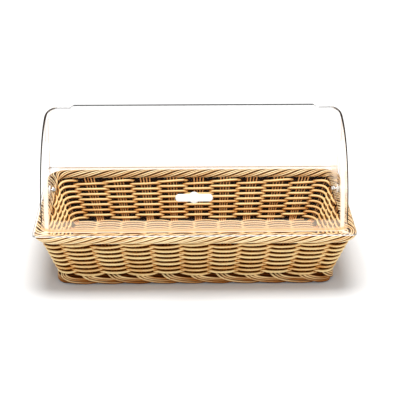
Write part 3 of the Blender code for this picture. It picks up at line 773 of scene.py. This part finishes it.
def weave_floor(material, shaded):
    """Strands along the floor, over one cross bundle and under the next, with dark rods close below as
    painted shade.
    """
    crossings = [wall_place(number, 0).x for number in range(1, LONG_PITCHES)]
    pitch_x = crossings[1] - crossings[0]
    runs = []
    for row in range(FLOOR_STRANDS):
        y = FLOOR_PITCH * (row - (FLOOR_STRANDS - 1) / 2)
        reach_x = floor_reach(y, 0.0)
        samples = int(2 * reach_x / FLOOR_SAMPLE)
        points = []
        for step in range(samples + 1):
            x = -reach_x + 2 * reach_x * step / samples
            wave = weave_wave((x - crossings[0]) / pitch_x + 0.5, row)
            stray = rng.uniform(-FLOOR_STRAY, FLOOR_STRAY)
            points.append(Vector((x, y + stray, FLOOR_BUNDLE_HEIGHT + FLOOR_REACH * wave)))
        runs.append((points, [(UP, 1)] * len(points), False))
    put(lay_rods("floor_weave", runs, FLOOR_RADIUS, material), "basket", "rattan", "base_mat")
    # Painted shade: dark rods under the strands, so the gaps between them read dark.
    under = []
    reach_y = floor_half_depth - FLOOR_SHADE_INSET
    for row in range(int(2 * reach_y / FLOOR_SHADE_PITCH) + 1):
        y = FLOOR_SHADE_PITCH * row - reach_y
        reach_x = floor_reach(y, FLOOR_SHADE_INSET)
        points = [Vector((reach_x * share, y, FLOOR_SHADE_HEIGHT)) for share in (-1.0, -0.5, 0.0, 0.5, 1.0)]
        under.append((points, [(UP, 1)] * len(points), False))
    put(lay_rods("floor_shade_rods", under, CORE_RADIUS, shaded), "basket", "rattan")


# The cover

def select_only(piece):
    bpy.ops.object.select_all(action="DESELECT")
    piece.select_set(True)
    bpy.context.view_layer.objects.active = piece


def new_piece(name, points, edges=(), faces=()):
    mesh = bpy.data.meshes.new(name)
    mesh.from_pydata(points, edges, faces)
    piece = bpy.data.objects.new(name, mesh)
    bpy.context.scene.collection.objects.link(piece)
    select_only(piece)
    return piece


def cover_form(name, inset, drop):
    """The cover's round form as a closed solid: a profile spun about the pivots, then drawn straight down."""
    width, radius, fillet = COVER_HALF_WIDTH - inset, COVER_RADIUS - inset, COVER_FILLET - inset
    profile = [(width, 0.0)]
    for step in range(FILLET_STEPS + 1):
        angle = step / FILLET_STEPS * math.pi / 2
        profile.append((width - fillet * (1 - math.cos(angle)), radius - fillet * (1 - math.sin(angle))))
    profile += [(-along, reach) for along, reach in reversed(profile)]
    points = [(along, -reach, PIVOT_HEIGHT) for along, reach in profile]
    piece = new_piece(name, points, [(i, i + 1) for i in range(len(points) - 1)])
    bpy.ops.object.mode_set(mode="EDIT")
    bpy.ops.mesh.select_all(action="SELECT")
    bpy.ops.mesh.spin(steps=COVER_STEPS, angle=math.pi, center=(0, 0, PIVOT_HEIGHT), axis=(1, 0, 0))
    bpy.ops.mesh.select_all(action="SELECT")
    bpy.ops.mesh.remove_doubles(threshold=0.00001)
    bpy.ops.mesh.select_all(action="DESELECT")
    bpy.ops.mesh.select_non_manifold()
    bpy.ops.mesh.extrude_edges_move(TRANSFORM_OT_translate={"value": (0, 0, -drop)})
    bpy.ops.mesh.edge_face_add()
    bpy.ops.mesh.select_all(action="SELECT")
    bpy.ops.mesh.normals_make_consistent(inside=False)
    bpy.ops.object.mode_set(mode="OBJECT")
    return piece


def drawn_solid(name, outline, way):
    """A flat outline drawn out along a way into a closed solid."""
    piece = new_piece(name, outline, faces=[range(len(outline))])
    bpy.ops.object.mode_set(mode="EDIT")
    bpy.ops.mesh.select_all(action="SELECT")
    bpy.ops.mesh.extrude_region_move(TRANSFORM_OT_translate={"value": way})
    bpy.ops.mesh.select_all(action="SELECT")
    bpy.ops.mesh.normals_make_consistent(inside=False)
    bpy.ops.object.mode_set(mode="OBJECT")
    return piece


def add_bar(name, radius, reach):
    """A round bar along the pivots."""
    bpy.ops.object.select_all(action="DESELECT")
    place, turn = (0, 0, PIVOT_HEIGHT), (0, math.pi / 2, 0)
    bpy.ops.mesh.primitive_cylinder_add(
        vertices=64, radius=radius, depth=2 * reach, location=place, rotation=turn
    )
    piece = bpy.context.object
    piece.name = name
    bpy.ops.object.transform_apply(location=True, rotation=True, scale=True)
    return piece


def join_shape(piece, other, operation):
    """Applies a Boolean with another shape, which is then gone."""
    select_only(piece)
    modifier = piece.modifiers.new(operation, "BOOLEAN")
    modifier.operation = operation
    modifier.object = other
    modifier.solver = "EXACT"
    bpy.ops.object.modifier_apply(modifier=modifier.name)
    bpy.data.objects.remove(other, do_unlink=True)


def flange_plate(name):
    """The flat flange all round, with round corners."""
    outline = []
    for quarter in range(4):
        turn = Matrix.Rotation(quarter * math.pi / 2, 3, "Z")
        half = (FLANGE_HALF_LENGTH, rim_high.y) if quarter % 2 == 0 else (rim_high.y, FLANGE_HALF_LENGTH)
        centre = Vector((half[0] - FLANGE_CORNER, half[1] - FLANGE_CORNER, 0))
        for step in range(FILLET_STEPS + 1):
            angle = step / FILLET_STEPS * math.pi / 2
            corner = turn @ (centre + FLANGE_CORNER * Vector((math.cos(angle), math.sin(angle), 0)))
            outline.append((corner.x, corner.y, FLANGE_LOW))
    return drawn_solid(name, outline, (0, 0, FLANGE_THICKNESS))


def cover_shell(name, inset, side, step, edges, hole_radius):
    """One shell: the round form and its flange, hollowed and cut to the front or the rear half.

    The half ends at the first of two edges below the step and at the second above it.
    """
    drop = PIVOT_HEIGHT - FLANGE_LOW
    shell = cover_form(name, inset, drop)
    join_shape(shell, flange_plate(f"{name}_flange"), "UNION")
    hollow = cover_form(f"{name}_hollow", inset + COVER_THICKNESS, drop + REACH_PAST)
    join_shape(shell, hollow, "DIFFERENCE")
    far_x, far_y = rim_high.x + REACH_PAST, side * (rim_high.y + REACH_PAST)
    low, high = FLANGE_LOW - REACH_PAST, PIVOT_HEIGHT + COVER_RADIUS + REACH_PAST
    first, second = edges
    corners = ((far_y, low), (first, low), (first, step), (second, step), (second, high), (far_y, high))
    outline = [(-far_x, y, z) for y, z in corners]
    kept = drawn_solid(f"{name}_half", outline, (2 * far_x, 0, 0))
    join_shape(kept, add_bar(f"{name}_ear", EAR_RADIUS, far_x), "UNION")
    join_shape(shell, kept, "INTERSECT")
    join_shape(shell, add_bar(f"{name}_hole", hole_radius, far_x), "DIFFERENCE")
    return shell


def mark_bends(shell, outer_radius):
    """Stores where the wall is curved tightly, where it is flat, and where it carries a painted reflection or
    a painted glint.

    The lean across a bend is 0 degrees on the round front and 90 on the end wall.
    """
    mesh = shell.data
    marks = {"bend_limit": [], "skirt_veil": [], "bend_veil": [], "end_wall": []}
    skirt_root = FLANGE_LOW + FLANGE_THICKNESS * 1.1 - PIVOT_HEIGHT
    for face in mesh.polygons:
        flat = abs(face.normal.x) > 0.99 or abs(face.normal.z) > 0.99 and face.center.z < PIVOT_HEIGHT
        for index in face.vertices:
            place = mesh.vertices[index].co
            x, y, z = abs(place.x), abs(place.y), place.z - PIVOT_HEIGHT
            round_x = max(0.0, x - (COVER_HALF_WIDTH - COVER_FILLET))
            round_r = max(0.0, (math.hypot(y, z) if z > 0 else y) - (COVER_RADIUS - COVER_FILLET))
            lean = math.degrees(math.atan2(round_x, round_r)) if round_x and round_r else 0.0
            depth = COVER_FILLET - math.hypot(round_x, round_r)
            outside = outer_radius == COVER_RADIUS and depth < SURFACE_SLACK
            inner = abs(depth - COVER_THICKNESS - COVER_CLEARANCE) < SURFACE_SLACK
            limit = HIDDEN_LIMIT
            if flat or z < skirt_root:
                limit = FLAT_LIMIT
            elif outer_radius < COVER_RADIUS and inner:
                limit = TOP_LIMIT + (INNER_LIMIT - TOP_LIMIT) * min(1.0, lean / 30)
            elif outside:
                corner = TOP_LIMIT + (CORNER_LIMIT - TOP_LIMIT) * min(1.0, lean / 12)
                limit = max(corner, SIDE_LIMIT * min(1.0, lean / 80))
            # The glint, the haze beside it and the skirt veils are painted reflection; the end wall mark
            # places a painted reflection of the room.
            glint = GLINT if 21 < lean < 38 and z < GLINT_TOP else SIDE_HAZE if 38 < lean < 75 else 0.0
            marks["bend_limit"].append(limit)
            marks["skirt_veil"].append(FRONT_SKIRT_VEIL if outside and place.y < 0 else SKIRT_VEIL)
            marks["bend_veil"].append(glint if outside else 0.0)
            on_end_wall = face.normal.x > 0.99 and place.x > 0 and z > skirt_root
            marks["end_wall"].append(1.0 if on_end_wall else 0.0)
    for key, values in marks.items():
        mesh.attributes.new(key, "FLOAT", "CORNER")
        mesh.attributes[key].data.foreach_set("value", values)


def trim_edges(shell, finishes):
    """Gives the sheet its clear finish, and its trimmed edges, tight bends and lip their own."""
    shell.data.materials.clear()
    for material in finishes:
        shell.data.materials.append(material)
    crest = PIVOT_HEIGHT + COVER_RADIUS + LIP_RISE
    for face in shell.data.polygons:
        centre, normal = face.center, face.normal
        from_end = abs(abs(centre.x) - FLANGE_HALF_LENGTH)
        on_rim = from_end < FLANGE_CORNER or abs(abs(centre.y) - rim_high.y) < FLANGE_CORNER
        over_ear = centre.z > PIVOT_HEIGHT + EAR_RADIUS and abs(centre.y) < EAR_RADIUS + COVER_LAP
        past_front = abs(centre.x) > COVER_HALF_WIDTH - COVER_FILLET + 0.001
        if on_rim and centre.z < FLANGE_TOP and abs(normal.z) < 0.3:
            face.material_index = BRIGHT_EDGE if abs(normal.x) < 0.3 else GREY_EDGE
        elif centre.z > crest - LIP_RISE * 0.9:
            face.material_index = LIP_CREST if abs(normal.y) < 0.5 else LIP_FACE
        elif abs(normal.y) > 0.99 and over_ear:
            face.material_index = SAWN_END
        elif past_front and abs(normal.x) < 0.995 and centre.z > FLANGE_TOP:
            face.material_index = TIGHT_BEND


def finish_shell(shell, node):
    select_only(shell)
    bpy.ops.transform.translate(value=(COVER_MIDDLE, 0, 0))
    bpy.ops.object.transform_apply(location=True, rotation=False, scale=False)
    bpy.ops.object.shade_smooth_by_angle(angle=math.radians(35))
    put(shell, SHELL_BODIES[node], "acrylic", node)


def front_lip(low, high):
    """The upright lip along the top of the front shell, its ends sloped."""
    top = LIP_HALF_LENGTH - LIP_SLOPE
    corners = ((-LIP_HALF_LENGTH, low), (LIP_HALF_LENGTH, low), (top, high), (-top, high))
    outline = [(x, -FRONT_SETBACK, z) for x, z in corners]
    return drawn_solid("front_lip", outline, (0, -LIP_THICKNESS, 0))


def make_cover():
    clear = clear_acrylic("clear cast acrylic", 0.5)
    bent = clear_acrylic("clear cast acrylic, tight bend", 0.0)
    rear_clear = clear_acrylic("clear cast acrylic, inner sheet", 0.5, 0.45)
    rear_bent = clear_acrylic("clear cast acrylic, inner tight bend", 0.0, 0.40)
    crest = PIVOT_HEIGHT + COVER_RADIUS + LIP_RISE
    edge_span = (FLANGE_LOW + 0.0019, FLANGE_LOW + 0.0014)
    wall_span = (COVER_HALF_WIDTH - 0.012, COVER_HALF_WIDTH - 0.006)
    # The edge colours are painted light and shade: white out of the flange edge, tan for the basket through
    # the rear sheet's sawn end, grey on the flange ends and near black on the lip.
    bright = acrylic_edge("bright trimmed acrylic edge", "#FFFFFF", 0.95, 0.12, edge_span)
    tan = acrylic_edge("tan trimmed acrylic edge", "#D8B49A", 0.42, 0.3, wall_span, True)
    sawn = sheet_end("sawn acrylic end")
    grey = acrylic_edge("grey trimmed acrylic edge", "#8C8A88", 0.9, 0.4)
    dark = acrylic_edge("smoky acrylic lip edge", "#120E0B", 0.95, 0.6)
    dark_painted = acrylic_edge("smoky acrylic lip", "#120E0B", 0.85, 0.6, (crest - 0.0014, crest - 0.0008))
    front_edges = (-COVER_SEAM / 2, -FRONT_SETBACK)
    front = cover_shell("front_cover_shell", 0.0, -1, PIVOT_HEIGHT, front_edges, FRONT_HOLE_RADIUS)
    join_shape(front, front_lip(PIVOT_HEIGHT + COVER_RADIUS - COVER_THICKNESS / 2, crest), "UNION")
    inset = COVER_THICKNESS + COVER_CLEARANCE
    rear_edges = (COVER_SEAM / 2, -FRONT_SETBACK - COVER_LAP)
    shelf = FLANGE_TOP + COVER_SEAM / 2
    rear = cover_shell("rear_cover_shell", inset, 1, shelf, rear_edges, REAR_HOLE_RADIUS)
    mark_bends(front, COVER_RADIUS)
    trim_edges(front, (clear, bright, dark, dark_painted, grey, bent, sawn))
    finish_shell(front, "front_shell")
    mark_bends(rear, COVER_RADIUS - inset)
    trim_edges(rear, (rear_clear, bright, dark, dark_painted, grey, rear_bent, tan))
    finish_shell(rear, "rear_shell")


def dress(names, material):
    for name in names:
        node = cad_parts[name]
        node.data.materials.clear()
        node.data.materials.append(material)


# The studio

def set_stage():
    """A white sweep under soft light."""
    bpy.ops.object.select_all(action="DESELECT")
    bpy.ops.mesh.primitive_plane_add(size=14)
    floor = bpy.context.object
    floor.name = "floor"
    sweep, tree, shader = new_finish("white paper sweep", {"Roughness": 0.9})
    shader.inputs["Base Color"].default_value = linear("#DEDEDE")
    shader.inputs["Specular IOR Level"].default_value = 0.0
    floor.data.materials.append(sweep)
    world = bpy.data.worlds.new("soft room")
    bpy.context.scene.world = world
    bpy.context.scene.view_settings.view_transform = "Standard"
    world.use_nodes = True
    background = world.node_tree.nodes["Background"]
    background.inputs["Color"].default_value = (1.0, 1.0, 1.0, 1.0)
    background.inputs["Strength"].default_value = 0.7


def add_light(name, place, target, size, power):
    data = bpy.data.lights.new(name, "AREA")
    data.shape = "RECTANGLE"
    data.size, data.size_y = size
    data.energy = power
    light = bpy.data.objects.new(name, data)
    bpy.context.scene.collection.objects.link(light)
    light.location = place
    turn = (Vector(target) - Vector(place)).to_track_quat("-Z", "Y")
    light.rotation_euler = turn.to_euler()


def set_camera():
    """The place, aim and focal length fitted to 40 edge points of the photograph."""
    eye = Vector((-0.0269, -2.2705, 0.9914))
    target = Vector((0.008994, 0.0, 0.100098))
    data = bpy.data.cameras.new("camera")
    data.sensor_width = 36
    data.lens = FOCAL_PIXELS / PHOTO_PIXELS * data.sensor_width
    camera = bpy.data.objects.new("camera", data)
    bpy.context.scene.collection.objects.link(camera)
    camera.location = eye
    turn = (target - eye).to_track_quat("-Z", "Y")
    camera.rotation_euler = turn.to_euler()
    bpy.context.scene.camera = camera


# Each rattan's colour runs from painted shade in its grooves to a painted highlight on its crown. The dark
# one is painted shade, on the rods inside the weave where the strands press together.
honey = ((0.10, "#240C01"), (0.30, "#642C06"), (0.50, "#CC8228"), (0.76, "#FFE2A4"))
# The foot's copy is painted darker, as shade.
shade_darkened = ((0.12, "#1A0801"), (0.32, "#502406"), (0.56, "#A8641E"), (0.84, "#FFE0A4"))
# The stakes' copy is browner and darker, partly painted shade for the gaps where they show.
brown = ((0.10, "#1C0A02"), (0.30, "#602604"), (0.50, "#BC6A20"), (0.76, "#F4BC78"))
# The border's copy is painted lighter, for the light on top of the rim.
cream = ((0.10, "#2E1202"), (0.28, "#7A420E"), (0.46, "#D69648"), (0.70, "#FFEDBE"))
# The floor's copy is painted paler, for the light washed over it under the cover.
pale = ((0.10, "#3A1602"), (0.30, "#7C4410"), (0.46, "#C88E48"), (0.70, "#E8C690"))
wall_rattan = poly_rattan("honey poly rattan", honey)
foot_rattan = poly_rattan("worn poly rattan", shade_darkened)
stake_rattan = poly_rattan("brown poly rattan", brown)
border_rattan = poly_rattan("cream poly rattan", cream)
floor_rattan = poly_rattan("pale poly rattan", pale)
# Painted shade: the dark rattan for the rods and cores inside the weave.
shade_rattan = poly_rattan("poly rattan painted as shade", ((0.1, "#1A0801"), (0.5, "#3A1804"), (0.9, "#6A3410")), 0.0)
weave_wall(wall_rattan)
shade_wall(shade_rattan)
stand_stakes(stake_rattan)
roll_border(border_rattan, shade_rattan)
plait_foot(foot_rattan, shade_rattan)
weave_floor(floor_rattan, shade_rattan)

make_cover()
# The moulded handle and caps are satin where the mould was polished. The screws show faint turning marks.
white = hard_finish("moulded white ABS", {"IOR": 1.53}, "#F2F1EC", 400.0, (0.28, 0.42))
steel = hard_finish("zinc-plated steel", {"Metallic": 1.0}, "#C9CBCC", 1500.0, (0.2, 0.34))
dress(["handle", "pivot_cap_left", "pivot_cap_right", "pivot_bush_left", "pivot_bush_right"], white)
metal = ("_insert", "_screw", "_nut_", "pivot_washer_")
dress([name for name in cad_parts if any(word in name for word in metal)], steel)
dress(["handle_washer"], pale_rubber())

set_stage()
set_camera()
add_light("window overhead", (0.0, 0.3, 4.5), (0, 0.3, 0.1), (2.6, 2.6), 215)
add_light("window in front", (0.5, -2.2, 1.3), (0, 0, 0.08), (1.4, 1.0), 8)
